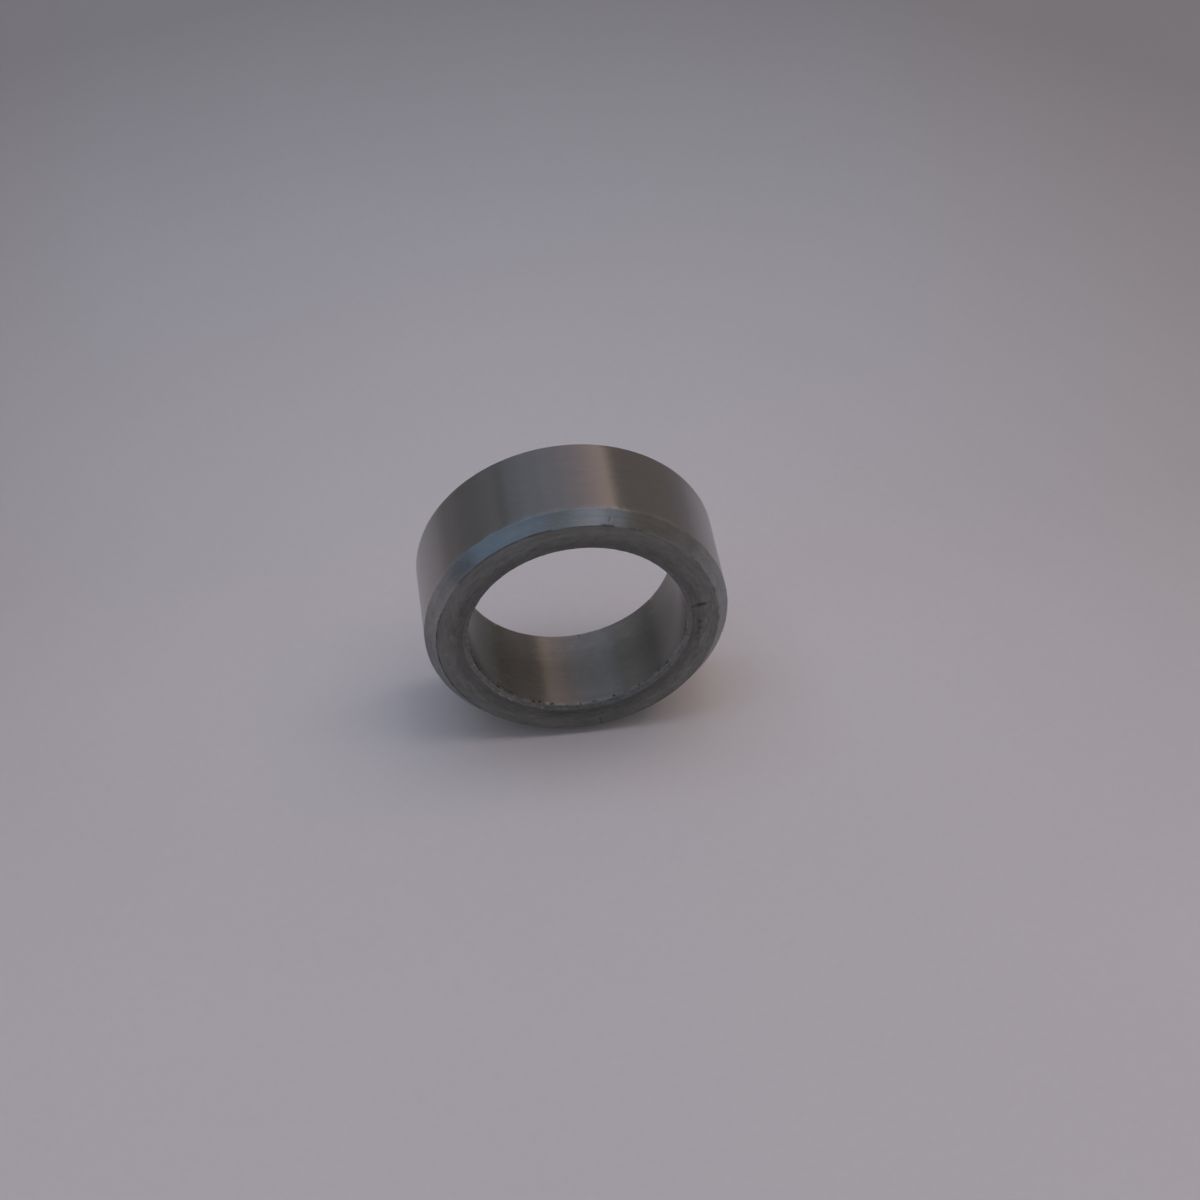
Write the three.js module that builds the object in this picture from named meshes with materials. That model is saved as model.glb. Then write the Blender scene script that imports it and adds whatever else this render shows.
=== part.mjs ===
// Plain shaft collar: one turned steel ring that is pressed on a shaft and held by its tight bore.
// Millimetres. The ring's axis lies along Y, +Z is up, and the origin is the bore's centre at half width.
// The ring stands on its rim, and its chamfered face looks towards -Y.
import * as THREE from "three";
import { mergeVertices } from "three/addons/utils/BufferGeometryUtils.js";

// Driving dimensions.
const OUTER_DIAMETER = 50;
const BORE_DIAMETER = 36;
const WIDTH = 17.5;
const FRONT_CHAMFER_AXIAL = 2.2; // the bold chamfer on the front outer edge, about 51 degrees to the face
const FRONT_CHAMFER_RADIAL = 1.8;
const BACK_EDGE_BREAK = 0.1; // 45 degrees: takes the sharpness off the edge that butts on the bearing
const BORE_CHAMFER_RADIAL = 0.8; // the same at both ends of the bore
const FRONT_BORE_CHAMFER_AXIAL = 0.4; // a shallow countersink
const BACK_BORE_CHAMFER_AXIAL = 0.8; // 45 degrees, the lead-in that starts the collar on its shaft
const SECTOR_COUNT = 128; // flat facets round the ring
const WELD_DISTANCE = 1e-4; // vertices closer than this become one, which closes the seam

const STEEL = { color: 0x6b6c68, roughness: 0.32, metalness: 1 };

// The section of the ring in the half plane of radius and axial place, as a closed outline.
// Each flat facet of the revolved ring lies inside the true circle, so the outline is that of the corners.
function ringSection() {
  const outer = OUTER_DIAMETER / 2;
  const bore = BORE_DIAMETER / 2;
  const front = -WIDTH / 2;
  const back = WIDTH / 2;
  const outline = [
    [bore + BORE_CHAMFER_RADIAL, front],
    [outer - FRONT_CHAMFER_RADIAL, front],
    [outer, front + FRONT_CHAMFER_AXIAL],
    [outer, back - BACK_EDGE_BREAK],
    [outer - BACK_EDGE_BREAK, back],
    [bore + BORE_CHAMFER_RADIAL, back],
    [bore, back - BACK_BORE_CHAMFER_AXIAL],
    [bore, front + FRONT_BORE_CHAMFER_AXIAL],
  ];
  outline.push(outline[0]);
  return outline.map(([radius, place]) => new THREE.Vector2(radius, place));
}

// The ring is turned by half a facet, so that it stands on a flat facet and not on a corner.
function ringGeometry() {
  const halfFacet = Math.PI / SECTOR_COUNT;
  const ring = new THREE.LatheGeometry(ringSection(), SECTOR_COUNT, halfFacet, 2 * Math.PI);
  ring.deleteAttribute("normal");
  ring.deleteAttribute("uv");
  const closed = mergeVertices(ring, WELD_DISTANCE);
  closed.computeVertexNormals();
  return closed;
}

const collarRing = new THREE.Mesh(ringGeometry(), new THREE.MeshStandardMaterial(STEEL));
collarRing.name = "collar_ring";

const shaftCollar = new THREE.Group();
shaftCollar.add(collarRing);

export default shaftCollar;
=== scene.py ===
"""Looks of a plain turned steel shaft collar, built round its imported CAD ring.

Metres, +Z up. The ring's axis lies along Y and its chamfered front face looks towards -Y.
The ring's own section and its marks are worked out in millimetres. A place on the ring is given by its
radius, its place along Y, and its angle in degrees: 0 towards +X, 90 at the top.
"""

import math
import random

import bpy
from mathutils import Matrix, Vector, noise


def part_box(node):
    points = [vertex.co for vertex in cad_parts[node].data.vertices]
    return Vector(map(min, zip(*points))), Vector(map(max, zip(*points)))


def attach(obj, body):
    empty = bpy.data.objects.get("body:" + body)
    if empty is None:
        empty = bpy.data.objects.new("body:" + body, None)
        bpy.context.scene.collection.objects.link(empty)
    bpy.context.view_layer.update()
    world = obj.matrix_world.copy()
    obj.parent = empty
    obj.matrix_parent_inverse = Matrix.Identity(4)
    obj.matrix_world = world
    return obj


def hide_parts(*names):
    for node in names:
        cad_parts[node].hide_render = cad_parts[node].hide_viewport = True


MM = 0.001

# The ring's section, in millimetres. The outer radius and the width come from the CAD box.
BORE_RADIUS = 18.0
FRONT_CHAMFER = (1.8, 2.2)  # radial and axial, on the outer edge
BACK_EDGE_BREAK = (0.1, 0.1)
FRONT_BORE_CHAMFER = (0.8, 0.4)
BACK_BORE_CHAMFER = (0.8, 0.8)
BOLD_EDGE_ROUND = 0.07  # radius of the rounding on the front chamfer's edges
SMALL_EDGE_ROUND = 0.05
ROUND_STEPS = 3

# Mesh density, as millimetres between rings of vertices and degrees between rows.
FACE_STEP = 0.115
BACK_FACE_STEP = 0.2
CHAMFER_STEP = 0.18
EDGE_STEP = 0.15
OUTSIDE_STEP = 0.95
BORE_STEP = 0.75
ROW_STEP = 0.75
FINE_ROW_STEP = 0.3
FINE_ROWS = ((-17, 12), (75, 83), (224, 244), (276, 285))  # where the small marks lie

# Camera: it looks down on the ring from the front, a little from the left.
CAMERA_TARGET = (0.182, -0.054, -0.032)  # in outer radii from the bore's centre
CAMERA_DISTANCE = 16.53  # in outer radii
CAMERA_YAW = 7.77  # degrees to the right of +Y
CAMERA_PITCH = 44.56  # degrees down
FOCAL_LENGTH = 75.0  # millimetres, on a sensor 36 wide

# Turning marks that are deep enough to be modelled: pitch and depth in millimetres.
FACING_GROOVES = ((0.62, 0.004), (1.7, 0.006))
RIM_ROUGHNESS = 0.06  # how deep the rough skin of the bore's rims is
EDGE_WEAR = 0.015  # how deep the corners are worn
SCATTERED_MARK_DEPTH = 0.16  # of a mark's reach
DING_DEPTH = 0.2  # of a ding's reach
DING_COUNT = 16
DING_ANGLE = 233  # the middle of the dings, low on the left
DING_SPREAD = 8  # their standard deviation, in degrees
MARK_SEED = 11


def cad_ring():
    """Outer radius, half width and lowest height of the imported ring, in metres."""
    low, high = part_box("collar_ring")
    return (high.x - low.x) / 2, (high.y - low.y) / 2, low.z


# ---------------------------------------------------------------- the ring's section


def rounded_corner(before, corner, after, size):
    """Points of an arc that replaces a corner, tangent to both sides."""
    to_before = (Vector(before) - Vector(corner)).normalized()
    to_after = (Vector(after) - Vector(corner)).normalized()
    half = to_before.angle(to_after) / 2
    reach = size / math.tan(half)
    centre = Vector(corner) + (to_before + to_after).normalized() * (size / math.sin(half))
    start = Vector(corner) + to_before * reach - centre
    end = Vector(corner) + to_after * reach - centre
    points = []
    for step in range(ROUND_STEPS + 1):
        mixed = start.lerp(end, step / ROUND_STEPS).normalized() * size
        points.append(centre + mixed)
    return points


def section_corners(outer, half_width):
    """The section's corners, from the front face's inner edge round the outside and back along the bore.

    Each is (radius, place along Y), rounding, how bare its wear is, and the step and zone of the side that
    follows it.
    """
    front, back = -half_width, half_width
    return [
        ((BORE_RADIUS + FRONT_BORE_CHAMFER[0], front), SMALL_EDGE_ROUND, 0.1, FACE_STEP, "front_face"),
        ((outer - FRONT_CHAMFER[0], front), BOLD_EDGE_ROUND, 0.1, CHAMFER_STEP, "chamfer"),
        ((outer, front + FRONT_CHAMFER[1]), BOLD_EDGE_ROUND, 0.9, OUTSIDE_STEP, "outside"),
        ((outer, back - BACK_EDGE_BREAK[1]), SMALL_EDGE_ROUND, 0.3, EDGE_STEP, "outside"),
        ((outer - BACK_EDGE_BREAK[0], back), SMALL_EDGE_ROUND, 0.3, BACK_FACE_STEP, "back_face"),
        ((BORE_RADIUS + BACK_BORE_CHAMFER[0], back), SMALL_EDGE_ROUND, 0.3, EDGE_STEP, "bore_rim"),
        ((BORE_RADIUS, back - BACK_BORE_CHAMFER[1]), SMALL_EDGE_ROUND, 0.3, BORE_STEP, "bore"),
        ((BORE_RADIUS, front + FRONT_BORE_CHAMFER[1]), SMALL_EDGE_ROUND, 0.6, EDGE_STEP, "bore_rim"),
    ]


def section_outline(outer, half_width):
    """The closed outline as a list of (point, zone, how bare its wear is), the last None off the corners."""
    corners = section_corners(outer, half_width)
    count = len(corners)
    arcs = []
    for index, (corner, size, *_) in enumerate(corners):
        before = corners[index - 1][0]
        after = corners[(index + 1) % count][0]
        arcs.append(rounded_corner(before, corner, after, size))
    outline = []
    for index, (_, _, wear, step, zone) in enumerate(corners):
        start = arcs[index][-1]
        end = arcs[(index + 1) % count][0]
        outline += [(point, zone, wear) for point in arcs[index]]
        pieces = max(1, round((end - start).length / step))
        for piece in range(1, pieces):
            outline.append((start.lerp(end, piece / pieces), zone, None))
    return outline


def outward_normals(outline):
    """The outline's outward direction at each of its points."""
    count = len(outline)
    normals = []
    for index in range(count):
        along = outline[(index + 1) % count][0] - outline[index - 1][0]
        normals.append(Vector((along.y, -along.x)).normalized())
    return normals


def row_angles():
    """Angles of the rows of vertices, in degrees, closer together where the small marks lie."""
    angles = []
    angle = -180.0
    while angle < 180.0 - ROW_STEP / 2:
        angles.append(angle)
        fine = any(low <= (angle - low) % 360 + low <= high for low, high in FINE_ROWS)
        angle += FINE_ROW_STEP if fine else ROW_STEP
    return angles


# ---------------------------------------------------------------- marks of use


def turned(radius, place, angle):
    """The point at this radius, place along Y and angle in degrees."""
    turn = math.radians(angle)
    return Vector((radius * math.cos(turn), place, radius * math.sin(turn)))


class Dent:
    """A shallow hollow round the line from start to end, darkened partly by dirt and partly by painted shade,
    and brightened by bare metal.

    The start and the end are each (radius, place, angle).
    """

    def __init__(self, start, end, reach, depth, dirt_and_shade=1.0, bare=0.0):
        self.start = turned(*start)
        self.line = turned(*end) - self.start
        self.reach = reach
        self.depth = depth
        self.dirt_and_shade = dirt_and_shade
        self.bare = bare
        self.middle = (start[2] + end[2]) / 2
        half_angle = abs(start[2] - end[2]) / 2
        self.spread = math.degrees(reach / BORE_RADIUS) + half_angle + 1.0

    def covers(self, angle):
        """Whether the dent can reach the row of vertices at this angle."""
        return abs((angle - self.middle + 180) % 360 - 180) < self.spread

    def strength(self, point):
        """1 on the line, falling smoothly to 0 at the dent's reach."""
        share = 0.0
        if self.line.length_squared:
            share = min(1, max(0, (point - self.start).dot(self.line) / self.line.length_squared))
        distance = (point - self.start - self.line * share).length / self.reach
        return (1 - distance * distance) ** 2 if distance < 1 else 0.0


def face_marks(front):
    """One bold radial scrape on the front face, four smudges below it, and a scratch at the bottom; their
    dark is partly dirt, partly painted shade.
    """
    return [
        Dent((18.9, front, 9.0), (20.0, front, 9.5), 0.40, 0.03, 0.42),
        Dent((20.0, front, 9.5), (21.0, front, 9.4), 0.60, 0.03, 0.62),
        Dent((21.0, front, 9.4), (21.8, front, 9.9), 0.42, 0.01, 0.22),
        Dent((20.0, front, -1.3), (20.1, front, -1.6), 0.70, 0.02, 0.42),
        Dent((20.2, front, -5.6), (20.2, front, -6.0), 0.74, 0.02, 0.36),
        Dent((20.1, front, -8.8), (20.1, front, -9.1), 0.64, 0.02, 0.34),
        Dent((20.2, front, -12.8), (20.1, front, -13.0), 0.58, 0.01, 0.22),
        Dent((21.6, front, 279.4), (23.0, front, 279.7), 0.22, 0.05, 0.45),
    ]


def chamfer_marks(outer, front):
    """Dents on the bold chamfer, most of them on its inner edge."""
    inner = outer - FRONT_CHAMFER[0]
    middle = (outer - FRONT_CHAMFER[0] * 0.55, front + FRONT_CHAMFER[1] * 0.45)
    return [
        Dent((inner, front, 80.4), (inner, front, 80.1), 0.24, 0.06, 0.4),
        Dent((inner, front, 79.2), (inner, front, 78.9), 0.28, 0.10, 0.6),
        Dent((inner, front, 78.0), (inner, front, 77.9), 0.20, 0.06, 0.4),
        Dent((inner + 0.5, front + 0.6, 77.4), (inner + 0.8, front + 1.0, 77.0), 0.14, 0.04, 0.3),
        Dent((*middle, 281.6), (*middle, 283.0), 0.70, 0.14, 0.8),
        Dent((inner, front, 204.0), (inner, front, 205.6), 0.30, 0.10),
    ]


def edge_groove(outer, front, low, high):
    """The thin dark groove that runs along the front chamfer's inner edge, as short dents end to end; its
    dark is partly dirt, partly painted shade.
    """
    radius = outer - FRONT_CHAMFER[0] - 0.03
    dents = []
    step = 2.0
    angle = low
    while angle < high:
        strength = 0.55 + 0.45 * noise.noise(Vector((angle * 0.21, 0.0, low)))
        start = (radius, front, angle)
        end = (radius, front, angle + step)
        dents.append(Dent(start, end, 0.20, 0.06 * strength, strength))
        angle += step
    return dents


def scattered_marks(outer, front, back, chance):
    """Small random nicks on the edges."""
    bore_edge = BORE_RADIUS + FRONT_BORE_CHAMFER[0]
    places = (
        # radius, place, how many, least and greatest reach, dirt and painted shade, bare metal
        (outer - FRONT_CHAMFER[0], front, 30, 0.14, 0.24, 0.5, 0.0),
        (outer, front + FRONT_CHAMFER[1], 18, 0.12, 0.20, 0.1, 0.3),
        (outer, back, 24, 0.14, 0.24, 0.2, 0.2),
        (bore_edge, front, 40, 0.16, 0.30, 0.15, 0.2),
        (BORE_RADIUS, front + FRONT_BORE_CHAMFER[1], 10, 0.10, 0.16, 0.0, 0.4),
        (bore_edge, back, 24, 0.16, 0.28, 0.15, 0.3),
        (BORE_RADIUS, back - BACK_BORE_CHAMFER[1], 20, 0.14, 0.24, 0.1, 0.3),
    )
    dents = []
    for radius, place, count, least, most, dirt_and_shade, bare in places:
        for _ in range(count):
            angle = chance.uniform(0, 360)
            reach = chance.uniform(least, most)
            end = (radius, place, angle + chance.uniform(0.0, 2.4))
            depth = reach * SCATTERED_MARK_DEPTH
            dents.append(Dent((radius, place, angle), end, reach, depth, dirt_and_shade, bare))
    return dents


def bright_dings(front, chance):
    """Fresh knocks on the rim of the bore, low on the left, where bare metal shines."""
    dents = []
    for _ in range(DING_COUNT):
        angle = chance.gauss(DING_ANGLE, DING_SPREAD)
        share = chance.uniform(0.0, 0.35)  # how far down the bore's chamfer
        radius = BORE_RADIUS + FRONT_BORE_CHAMFER[0] * (1 - share)
        place = (radius, front + share * FRONT_BORE_CHAMFER[1], angle)
        reach = chance.uniform(0.16, 0.3)
        dents.append(Dent(place, place, reach, reach * DING_DEPTH, 0.0, 0.8))
    return dents


def all_marks(outer, half_width):
    chance = random.Random(MARK_SEED)
    front, back = -half_width, half_width
    dents = face_marks(front) + chamfer_marks(outer, front)
    dents += edge_groove(outer, front, 166, 224)
    dents += edge_groove(outer, front, 100, 144)
    dents += scattered_marks(outer, front, back, chance)
    dents += bright_dings(front, chance)
    return dents


def facing_depth(radius):
    """How deep the facing tool's marks are at this radius."""
    depth = 0.0
    for pitch, height in FACING_GROOVES:
        depth += height * (0.5 + 0.5 * math.sin(2 * math.pi * radius / pitch))
    return depth


def edge_shine(point, wear):
    """How bare a worn corner is at this point, from 0 to 1, in patches along it."""
    patches = noise.noise(point * 0.5) + 0.6 * noise.noise(point * 2.3)
    return wear * min(1, max(0, 0.6 + 0.8 * patches))


def surface_depth(point, radius, zone, wear):
    """How far the finish lies below the true section, before any dent."""
    if zone in ("front_face", "back_face") and wear is None:
        return facing_depth(radius)
    if zone == "bore_rim":
        rough = noise.noise(point * 1.6) + 0.7 * noise.noise(point * 3.7)
        return RIM_ROUGHNESS * (0.5 + 0.5 * min(1, max(-1, rough)))
    if wear is not None:
        return EDGE_WEAR * max(0, noise.noise(point * 0.9))
    return 0.0


# ---------------------------------------------------------------- the ring's mesh


def ring_vertices(outline, dents):
    """Every vertex in metres, row by row, with its darkening by dirt and painted shade, and its bare metal,
    from 0 to 1.
    """
    normals = outward_normals(outline)
    vertices, dirt_and_shade, bare = [], [], []
    for angle in row_angles():
        near = [dent for dent in dents if dent.covers(angle)]
        for (section_point, zone, wear), normal in zip(outline, normals):
            radius, place = section_point
            point = turned(radius, place, angle)
            depth = surface_depth(point, radius, zone, wear)
            darkened = 0.0
            shiny = edge_shine(point, wear) if wear else 0.0
            for dent in near:
                strength = dent.strength(point)
                depth += dent.depth * strength
                darkened = max(darkened, dent.dirt_and_shade * strength)
                shiny = max(shiny, dent.bare * strength)
            moved = turned(radius - normal.x * depth, place - normal.y * depth, angle)
            vertices.append(moved * MM)
            dirt_and_shade.append(darkened)
            bare.append(shiny)
    return vertices, dirt_and_shade, bare


def make_ring(outer, half_width):
    """The ring as one closed mesh in metres, with a material for each zone."""
    outline = section_outline(outer / MM, half_width / MM)
    vertices, dirt_and_shade, bare = ring_vertices(outline, all_marks(outer / MM, half_width / MM))
    count = len(outline)
    rows = len(vertices) // count
    names = list(LOOKS)
    faces, zones = [], []
    for row in range(rows):
        here = row * count
        there = (row + 1) % rows * count
        for index in range(count):
            after = (index + 1) % count
            faces.append((here + index, there + index, there + after, here + after))
            zones.append(names.index(outline[index][1]))
    mesh = bpy.data.meshes.new("collar_ring_steel")
    mesh.from_pydata(vertices, [], faces)
    for name in names:
        mesh.materials.append(steel(name, **LOOKS[name]))
    mesh.polygons.foreach_set("material_index", zones)
    mesh.polygons.foreach_set("use_smooth", [True] * len(faces))
    mesh.attributes.new("dirt_and_shade", "FLOAT", "POINT").data.foreach_set("value", dirt_and_shade)
    mesh.attributes.new("bare", "FLOAT", "POINT").data.foreach_set("value", bare)
    mesh.update()
    ring = bpy.data.objects.new("collar_ring_steel", mesh)
    bpy.context.scene.collection.objects.link(ring)
    return ring


# ---------------------------------------------------------------- materials


class Graph:
    """Short forms for making shader nodes."""

    def __init__(self, tree):
        self.tree = tree
        self.tree.nodes.clear()

    def fill(self, socket, value):
        if isinstance(value, bpy.types.NodeSocket):
            self.tree.links.new(value, socket)
        else:
            socket.default_value = value

    def node(self, kind, inputs=None, **settings):
        made = self.tree.nodes.new(kind)
        for name, value in settings.items():
            setattr(made, name, value)
        for name, value in (inputs or {}).items():
            self.fill(made.inputs[name], value)
        return made

    def math(self, operation, *values):
        made = self.node("ShaderNodeMath", operation=operation)
        for index, value in enumerate(values):
            self.fill(made.inputs[index], value)
        return made.outputs[0]

    def remap(self, value, low, high, to_low=0.0, to_high=1.0, kind="LINEAR"):
        inputs = {"Value": value, "From Min": low, "From Max": high, "To Min": to_low, "To Max": to_high}
        return self.node("ShaderNodeMapRange", inputs, interpolation_type=kind).outputs["Result"]

    def mix(self, factor, first, second, blend="MIX"):
        made = self.node("ShaderNodeMix", data_type="RGBA", blend_type=blend)
        for index, value in ((0, factor), (6, first), (7, second)):
            self.fill(made.inputs[index], value)
        return made.outputs[2]

    def scaled(self, color, factor):
        made = self.node("ShaderNodeVectorMath", operation="SCALE")
        self.fill(made.inputs[0], color)
        self.fill(made.inputs["Scale"], factor)
        return made.outputs[0]

    def noise(self, vector, scale, detail=4.0, rough=0.6, distortion=0.0):
        inputs = {
            "Vector": vector,
            "Scale": scale,
            "Detail": detail,
            "Roughness": rough,
            "Distortion": distortion,
        }
        return self.node("ShaderNodeTexNoise", inputs).outputs["Fac"]

    def attribute(self, name):
        return self.node("ShaderNodeAttribute", attribute_name=name).outputs["Fac"]


class RingPlaces:
    """Places on the ring for a material, in millimetres: the whole place, its x, y and z, and its radius."""

    def __init__(self, graph):
        place = graph.node("ShaderNodeTexCoord").outputs["Object"]
        self.place = graph.scaled(place, 1 / MM)
        split = graph.node("ShaderNodeSeparateXYZ", {"Vector": self.place})
        self.x, self.y, self.z = split.outputs
        x_square = graph.math("MULTIPLY", self.x, self.x)
        z_square = graph.math("MULTIPLY", self.z, self.z)
        self.radius = graph.math("SQRT", graph.math("ADD", x_square, z_square))

    def streaks(self, graph, across, pitch, length):
        """A place that changes over `pitch` mm across the turning marks, and over `length` mm along them."""
        parts = {
            "X": graph.math("DIVIDE", self.x, length),
            "Y": graph.math("DIVIDE", self.z, length),
            "Z": graph.math("DIVIDE", across, pitch),
        }
        return graph.node("ShaderNodeCombineXYZ", parts).outputs["Vector"]


# The dark of pits and dents: partly dirt, partly painted shade.
DIRT_AND_SHADE_COLOR = (0.02, 0.02, 0.021, 1)
BARE_COLOR = (0.52, 0.52, 0.53, 1)
TURNING_MARK_HEIGHT = 0.002  # millimetres, of the marks that are only bump
PIT_DEPTH = 1.5  # turning mark heights
QUARTER_TURN = 0.25  # turns the stretched highlights across the turning marks


def around_one(graph, value, amount):
    """A noise value of about 0.3 to 0.7 as a factor from 1 - amount to 1 + amount."""
    return graph.remap(value, 0.3, 0.7, 1 - amount, 1 + amount)


def shaded(graph, places, value, shades, wobble):
    """The value times each shade's slow change along its place, mostly painted reflection and shade."""
    for follows, low, high, at_low, at_high in shades:
        where = graph.math("ADD", getattr(places, follows), wobble)
        shade = graph.remap(where, low, high, at_low, at_high, "SMOOTHSTEP")
        value = graph.math("MULTIPLY", value, shade)
    return value


def reflection_tinted(graph, places, tint, reflection_tint, wobble):
    """The tint multiplied by a painted reflection colour, as far along its place as that colour has reached.
    """
    follows, low, high, reflection_color = reflection_tint
    where = graph.math("ADD", getattr(places, follows), wobble)
    reached = graph.remap(where, low, high, kind="SMOOTHSTEP")
    return graph.mix(reached, tint, reflection_color, "MULTIPLY")


def marked(graph, tint, pitted, dirt_and_shade):
    """The tint with pits, bare metal, and the dark of dirt and painted shade over it."""
    bare = graph.attribute("bare")
    tint = graph.mix(graph.math("MULTIPLY", pitted, 0.6), tint, DIRT_AND_SHADE_COLOR)
    tint = graph.mix(graph.math("MULTIPLY", bare, 0.9), tint, BARE_COLOR)
    return graph.mix(graph.math("MULTIPLY", dirt_and_shade, 0.95), tint, DIRT_AND_SHADE_COLOR)


def steel(name, color, roughness, anisotropy, across, streak, mottle, pits, bump, shades=(), reflection_tint=None):
    """Turned steel with marks that run round the axis, cloudy staining and pits.

    `across` is the place that the turning marks differ by, y or radius. `streak` is their pitch, length and
    contrast, `mottle` the stains' size across the marks, size along them and contrast, and `pits` the pits'
    size and how many there are, from 0 to 1. Each of `shades` is a place, from, to, and the factors on the
    colour at both; most of them are painted reflection and shade. The last argument is a place, from, to, and
    a painted reflection colour that the tint has reached there.
    """
    material = bpy.data.materials.new(name)
    material.use_nodes = True
    graph = Graph(material.node_tree)
    places = RingPlaces(graph)
    across_place = getattr(places, across)
    fine = graph.noise(places.streaks(graph, across_place, streak[0], streak[1]), 1.0)
    broad = graph.noise(places.streaks(graph, across_place, streak[0] * 5, streak[1]), 1.0, 2.0)
    clouds = graph.noise(places.streaks(graph, across_place, mottle[0], mottle[1]), 1.0, 5.0, 0.6, 0.4)
    grain = graph.noise(places.place, 1 / pits[0], 2.0, 0.5)
    pit_edge = 0.90 - 0.42 * pits[1]
    pitted = graph.remap(grain, pit_edge, pit_edge + 0.04)
    broad_factor = around_one(graph, broad, streak[2] * 0.7)
    value = graph.math("MULTIPLY", around_one(graph, fine, streak[2]), broad_factor)
    value = graph.math("MULTIPLY", value, around_one(graph, clouds, mottle[2]))
    wobble = graph.remap(clouds, 0.3, 0.7, -0.4, 0.4)
    tint = graph.scaled(color, shaded(graph, places, value, shades, wobble))
    if reflection_tint:
        tint = reflection_tinted(graph, places, tint, reflection_tint, wobble)
    dirt_and_shade = graph.attribute("dirt_and_shade")
    rough = graph.remap(clouds, 0.3, 0.7, roughness * 0.9, roughness * 1.12)
    rough = graph.math("ADD", rough, graph.math("MULTIPLY", dirt_and_shade, 0.2))
    height = graph.math("SUBTRACT", fine, graph.math("MULTIPLY", pitted, PIT_DEPTH))
    relief = {"Height": height, "Strength": bump, "Distance": TURNING_MARK_HEIGHT * MM}
    bumped = graph.node("ShaderNodeBump", relief)
    tangent = graph.node("ShaderNodeTangent", direction_type="RADIAL", axis="Y")
    inputs = {
        "Base Color": marked(graph, tint, pitted, dirt_and_shade),
        "Metallic": 1.0,
        "Roughness": rough,
        "Anisotropic": anisotropy,
        "Anisotropic Rotation": QUARTER_TURN,
        "Normal": bumped.outputs["Normal"],
        "Tangent": tangent.outputs["Tangent"],
    }
    shader = graph.node("ShaderNodeBsdfPrincipled", inputs)
    graph.node("ShaderNodeOutputMaterial", {"Surface": shader.outputs["BSDF"]})
    return material


LOOKS = {
    "front_face": {
        "color": (0.204, 0.208, 0.196), "roughness": 0.42, "anisotropy": 0.5, "across": "radius",
        "streak": (0.30, 7.0, 0.11), "mottle": (0.7, 1.8, 0.17), "pits": (0.40, 0.45),
        # Darker towards the bore, and a painted reflection that makes the right side a little brighter.
        "shades": [("radius", 19.4, 21.6, 0.73, 1.02), ("x", 14.0, 22.0, 1.0, 1.04)], "bump": 1.0,
    },
    "chamfer": {
        "color": (0.335, 0.34, 0.335), "roughness": 0.28, "anisotropy": 0.85, "across": "y",
        "streak": (0.22, 14.0, 0.06), "mottle": (0.9, 3.0, 0.10), "pits": (0.3, 0.25),
        # Painted reflection and shade: darker at the far left and from the middle down, near full tone again
        # low down, darker again at the bottom.
        "shades": [
            ("x", -25.0, -22.5, 0.86, 1.0),
            ("z", -4.0, 8.0, 0.75, 1.0),
            ("z", -12.0, -5.0, 0.94, 1.0),
            ("z", -18.0, -12.0, 1.44, 1.0),
            ("z", -23.0, -19.5, 0.84, 1.0),
        ],
        "bump": 0.5,
    },
    "outside": {
        "color": (0.40, 0.39, 0.38), "roughness": 0.21, "anisotropy": 0.9, "across": "y",
        "streak": (0.18, 14.0, 0.022), "mottle": (1.0, 3.0, 0.035), "pits": (0.4, 0.12), "bump": 0.3,
    },
    "back_face": {
        "color": (0.23, 0.235, 0.228), "roughness": 0.42, "anisotropy": 0.5, "across": "radius",
        "streak": (0.32, 9.0, 0.12), "mottle": (1.0, 3.0, 0.24), "pits": (0.40, 0.5),
        "shades": [("radius", 19.0, 21.8, 0.80, 1.02)], "bump": 1.0,
    },
    "bore_rim": {
        "color": (0.215, 0.218, 0.21), "roughness": 0.45, "anisotropy": 0.3, "across": "y",
        "streak": (0.2, 4.0, 0.10), "mottle": (0.4, 0.7, 0.30), "pits": (0.30, 0.55), "bump": 1.0,
    },
    "bore": {
        "color": (0.29, 0.285, 0.266), "roughness": 0.25, "anisotropy": 0.0, "across": "y",
        "streak": (0.25, 12.0, 0.05), "mottle": (0.9, 2.0, 0.07), "pits": (0.4, 0.0),
        # Painted reflection and shade: darker at both sides and at mid-depth, lighter just right of the
        # middle and towards both ends.
        "shades": [
            ("x", -16.0, -8.5, 0.34, 0.92),
            ("x", -4.0, 8.0, 1.0, 1.36),
            ("x", 10.5, 15.5, 1.0, 0.54),
            ("y", 0.0, 6.5, 0.86, 1.15),
            ("y", -7.0, -1.5, 1.12, 1.0),
        ],
        # Painted reflection colour: a greener tone on the bore's left side.
        "reflection_tint": ("x", -10.0, -14.0, (0.92, 0.96, 0.84, 1)), "bump": 0.25,
    },
}


# ---------------------------------------------------------------- floor, light and camera

FLOOR_HALF_SIZE = 3.0  # metres
FLOOR_COLOR = (0.805, 0.775, 0.775, 1)
# Painted light: the floor turns a little cool behind the ring and a little warm to either side there.
FLOOR_BACK_COLOR = (0.815, 0.815, 0.835, 1)
FLOOR_TURNS_BLUE = (0.03, 0.14)  # metres behind the ring
FLOOR_SIDE_COLOR = (0.81, 0.77, 0.75, 1)
FLOOR_TURNS_WARM = (0.08, 0.14)  # metres to either side, behind the ring
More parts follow.
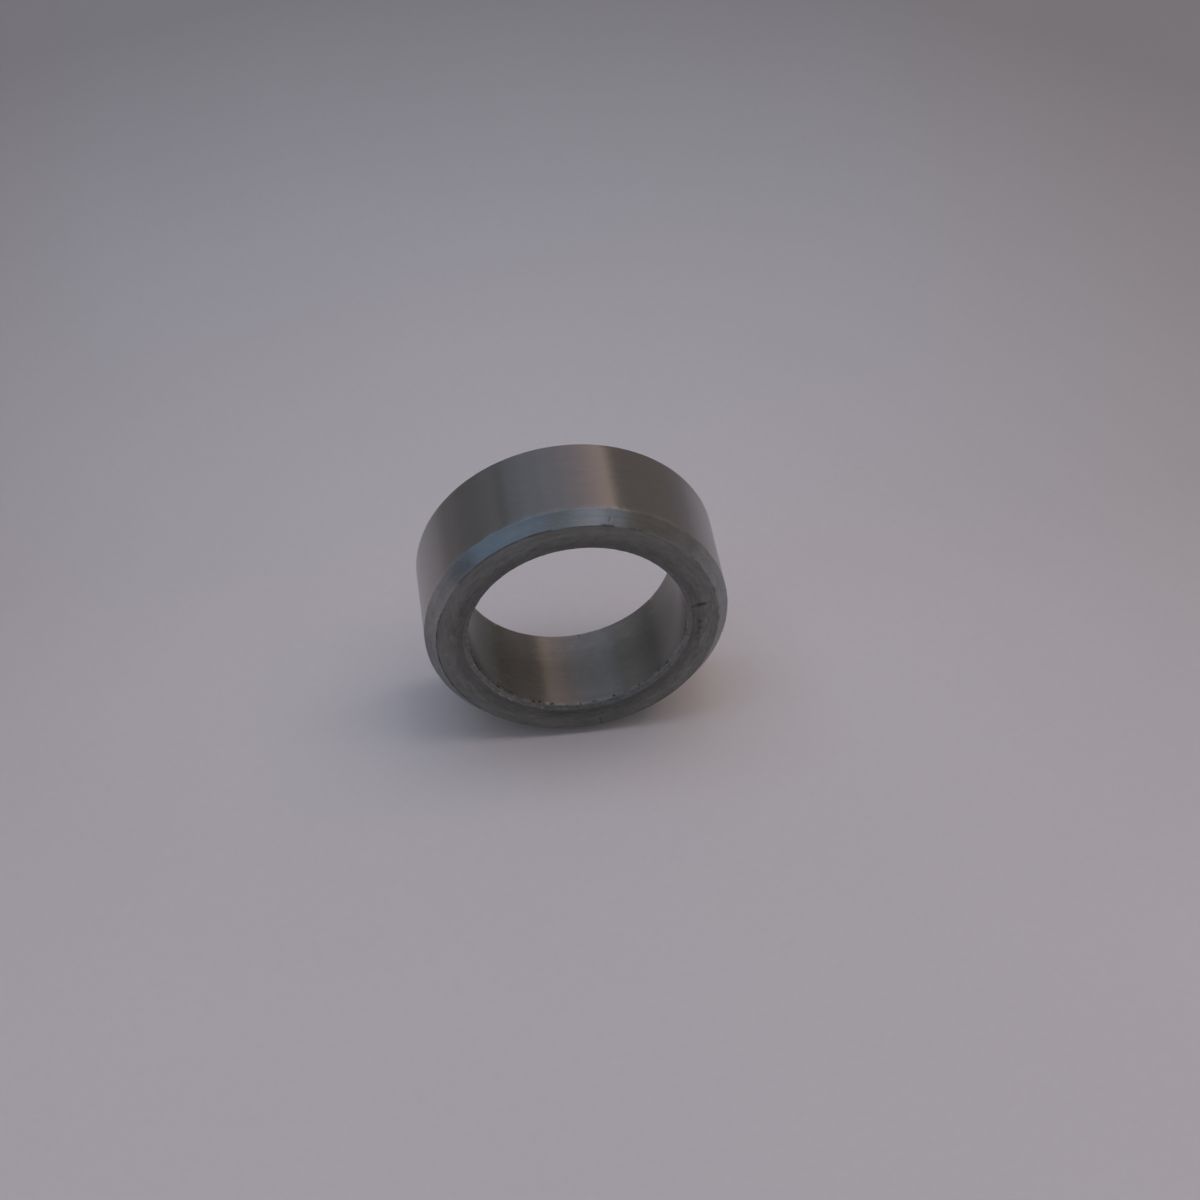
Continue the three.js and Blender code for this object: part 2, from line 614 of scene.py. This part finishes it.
# Painted shade on the floor behind the ring, which the ring reflects: darker from FLOOR_FADE out, and pale
# again over FLOOR_PALE_AGAIN.
FLOOR_FADE = (0.05, 0.24)  # metres from the ring
FLOOR_PALE_AGAIN = (0.5, 0.9)  # metres from the ring
FLOOR_FADE_BEHIND = (-0.06, 0.04)  # metres behind the ring, since it only fades there
FLOOR_FAR_SHARE = 0.52  # how much of its colour is left where it has faded
LIGHT_DISTANCE = 1.0  # metres

# What the ring reflects overhead: slices of a soft light that runs along Y, warm on the right and cool on the
# left. For each: its range of angles from the vertical towards +X, and its radiance.
OVERHEAD_SLICES = (
    ((32, 38), (0.40, 0.30, 0.262)),
    ((27, 32), (0.285, 0.215, 0.20)),
    ((21, 27), (0.24, 0.182, 0.187)),
    ((13, 21), (0.188, 0.146, 0.166)),
    ((1, 13), (0.141, 0.129, 0.152)),
    ((-15, 1), (0.105, 0.109, 0.145)),
    ((-31, -15), (0.080, 0.094, 0.127)),
    ((-43, -31), (0.052, 0.064, 0.090)),
    ((-59, -50), (0.037, 0.036, 0.043)),
    ((-66, -59), (0.014, 0.013, 0.018)),
)
OVERHEAD_ALONG = (-15, 68)  # its range of angles from the vertical towards +Y

# The same for the cool light in front, which the chamfer reflects.
FRONT_SLICES = (
    ((27, 40), (0.10, 0.175, 0.27)),
    ((14, 27), (0.35, 0.42, 0.51)),
    ((2, 14), (0.245, 0.295, 0.365)),
    ((-15, 2), (0.11, 0.155, 0.21)),
    ((-72, -15), (0.115, 0.185, 0.28)),
)
FRONT_ALONG = (-55, -18)

# What lights the floor and casts the shadows, as angles towards +X, towards +Y, and radiance.
FLOOR_LIGHTS = {
    "warm_key": ((2, 42), (-17, 18), (1.21, 0.95, 0.81)),
    "cool_key": ((-31, 11), (-15, 20), (0.66, 0.81, 1.14)),
    "soft_fill": ((-70, 70), (-70, 70), (0.068, 0.069, 0.081)),
}
WALL_LEFT = (0.146, 0.148, 0.156, 1)
WALL_RIGHT = (0.185, 0.163, 0.155, 1)
WALL_FRONT_LEFT = (0.160, 0.200, 0.275, 1)
WALL_FRONT_RIGHT = (0.268, 0.244, 0.246, 1)
SEEN_HORIZON = (0.19, 0.182, 0.195, 1)
SEEN_BACKGROUND = (0.33, 0.31, 0.34, 1)


def paper():
    """Pale paper for the floor, with painted shade and painted cool light behind the ring, and painted warm
    light to either side there.
    """
    material = bpy.data.materials.new("paper")
    material.use_nodes = True
    graph = Graph(material.node_tree)
    place = graph.node("ShaderNodeTexCoord").outputs["Object"]
    grain = graph.noise(place, 900.0, 3.0)
    clouds = graph.noise(place, 18.0, 2.0)
    value = graph.math("MULTIPLY", around_one(graph, grain, 0.012), around_one(graph, clouds, 0.008))
    away = graph.node("ShaderNodeVectorMath", {0: place}, operation="LENGTH").outputs["Value"]
    x, y, _ = graph.node("ShaderNodeSeparateXYZ", {"Vector": place}).outputs
    behind = graph.remap(y, *FLOOR_FADE_BEHIND)
    # Painted shade, only behind the ring.
    painted_floor_shade = graph.math("MULTIPLY", behind, graph.remap(away, *FLOOR_FADE, 0.0, 1 - FLOOR_FAR_SHARE))
    painted_floor_shade = graph.math("MULTIPLY", painted_floor_shade, graph.remap(away, *FLOOR_PALE_AGAIN, 1.0, 0.0))
    value = graph.math("MULTIPLY", value, graph.math("SUBTRACT", 1.0, painted_floor_shade))
    # Painted cool light behind the ring, and painted warm light to either side there.
    color = graph.mix(graph.remap(y, *FLOOR_TURNS_BLUE), FLOOR_COLOR, FLOOR_BACK_COLOR)
    beside = graph.math("MULTIPLY", behind, graph.remap(graph.math("ABSOLUTE", x), *FLOOR_TURNS_WARM))
    color = graph.mix(beside, color, FLOOR_SIDE_COLOR)
    bumped = graph.node("ShaderNodeBump", {"Height": grain, "Strength": 0.2, "Distance": 0.1 * MM})
    inputs = {
        "Base Color": graph.scaled(color, value),
        "Roughness": 0.9,
        "Specular IOR Level": 0.2,
        "Normal": bumped.outputs["Normal"],
    }
    shader = graph.node("ShaderNodeBsdfPrincipled", inputs)
    graph.node("ShaderNodeOutputMaterial", {"Surface": shader.outputs["BSDF"]})
    return material


def make_floor(height):
    size = FLOOR_HALF_SIZE
    corners = [(-size, -size, height), (size, -size, height), (size, size, height), (-size, size, height)]
    mesh = bpy.data.meshes.new("floor")
    mesh.from_pydata(corners, [], [(0, 1, 2, 3)])
    mesh.materials.append(paper())
    floor = bpy.data.objects.new("floor", mesh)
    bpy.context.scene.collection.objects.link(floor)


def make_panel(name, across, along, radiance, lights_floor):
    """A flat soft light, for the ring or for the floor. The ring is metal and only reflects.

    `across` and `along` are its ranges of angles from the vertical, towards +X and +Y.
    """
    middle = math.radians(sum(across) / 2)
    half = math.radians(across[1] - across[0]) / 2
    near, far = [LIGHT_DISTANCE * math.tan(math.radians(angle)) for angle in along]
    peak = max(radiance)
    light = bpy.data.lights.new(name, "AREA")
    light.shape = "RECTANGLE"
    light.size = 2 * LIGHT_DISTANCE * math.tan(half)
    light.size_y = far - near
    light.color = [part / peak for part in radiance]
    light.energy = peak * math.pi * light.size * light.size_y
    holder = bpy.data.objects.new(name, light)
    holder.location = (LIGHT_DISTANCE * math.sin(middle), (near + far) / 2, LIGHT_DISTANCE * math.cos(middle))
    holder.rotation_euler = (0, middle, 0)
    holder.visible_camera = False
    holder.visible_glossy = not lights_floor
    holder.visible_diffuse = lights_floor
    bpy.context.scene.collection.objects.link(holder)


def make_lights():
    for index, (across, radiance) in enumerate(OVERHEAD_SLICES):
        make_panel(f"overhead_{index}", across, OVERHEAD_ALONG, radiance, False)
    for index, (across, radiance) in enumerate(FRONT_SLICES):
        make_panel(f"front_{index}", across, FRONT_ALONG, radiance, False)
    for name, (across, along, radiance) in FLOOR_LIGHTS.items():
        make_panel(name, across, along, radiance, True)


def make_world():
    """Dim walls, warmer on the right, and a pale background where the camera sees it."""
    world = bpy.data.worlds.new("studio")
    world.use_nodes = True
    graph = Graph(world.node_tree)
    towards = graph.node("ShaderNodeTexCoord").outputs["Generated"]
    x, y, z = graph.node("ShaderNodeSeparateXYZ", {"Vector": towards}).outputs
    walls = graph.mix(graph.remap(x, -0.2, 0.6), WALL_LEFT, WALL_RIGHT)
    in_front = graph.remap(y, -0.1, -0.35)
    front_left = graph.math("MULTIPLY", graph.remap(x, -0.3, -0.85), in_front)
    front_right = graph.math("MULTIPLY", graph.remap(x, 0.3, 0.7), in_front)
    front_right = graph.math("MULTIPLY", front_right, graph.remap(z, 0.4, 0.05))
    walls = graph.mix(front_left, walls, WALL_FRONT_LEFT)
    walls = graph.mix(front_right, walls, WALL_FRONT_RIGHT)
    seen = graph.node("ShaderNodeLightPath").outputs["Is Camera Ray"]
    backdrop = graph.mix(graph.remap(z, 0.0, 0.35, kind="SMOOTHSTEP"), SEEN_HORIZON, SEEN_BACKGROUND)
    background = graph.node("ShaderNodeBackground", {"Color": graph.mix(seen, walls, backdrop)})
    graph.node("ShaderNodeOutputWorld", {"Surface": background.outputs["Background"]})
    bpy.context.scene.world = world


def make_camera(outer):
    yaw, pitch = math.radians(CAMERA_YAW), math.radians(CAMERA_PITCH)
    looks = Vector((math.sin(yaw) * math.cos(pitch), math.cos(yaw) * math.cos(pitch), -math.sin(pitch)))
    data = bpy.data.cameras.new("camera")
    data.sensor_width = 36.0
    data.lens = FOCAL_LENGTH
    data.clip_start = 0.01
    camera = bpy.data.objects.new("camera", data)
    camera.location = (Vector(CAMERA_TARGET) - looks * CAMERA_DISTANCE) * outer
    camera.rotation_euler = (math.pi / 2 - pitch, 0, -yaw)
    bpy.context.scene.collection.objects.link(camera)
    bpy.context.scene.camera = camera


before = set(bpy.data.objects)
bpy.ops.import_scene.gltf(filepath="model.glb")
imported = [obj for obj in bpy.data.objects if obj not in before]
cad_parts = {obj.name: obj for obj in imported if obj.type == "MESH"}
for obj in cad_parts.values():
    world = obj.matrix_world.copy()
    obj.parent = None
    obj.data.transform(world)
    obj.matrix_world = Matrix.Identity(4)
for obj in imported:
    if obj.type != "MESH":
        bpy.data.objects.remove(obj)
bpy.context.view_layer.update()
outer_radius, ring_half_width, floor_height = cad_ring()
make_camera(outer_radius)
collar = make_ring(outer_radius, ring_half_width)
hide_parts("collar_ring")
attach(collar, "root")
make_floor(floor_height)
make_world()
make_lights()
bpy.context.scene.view_settings.view_transform = "Standard"
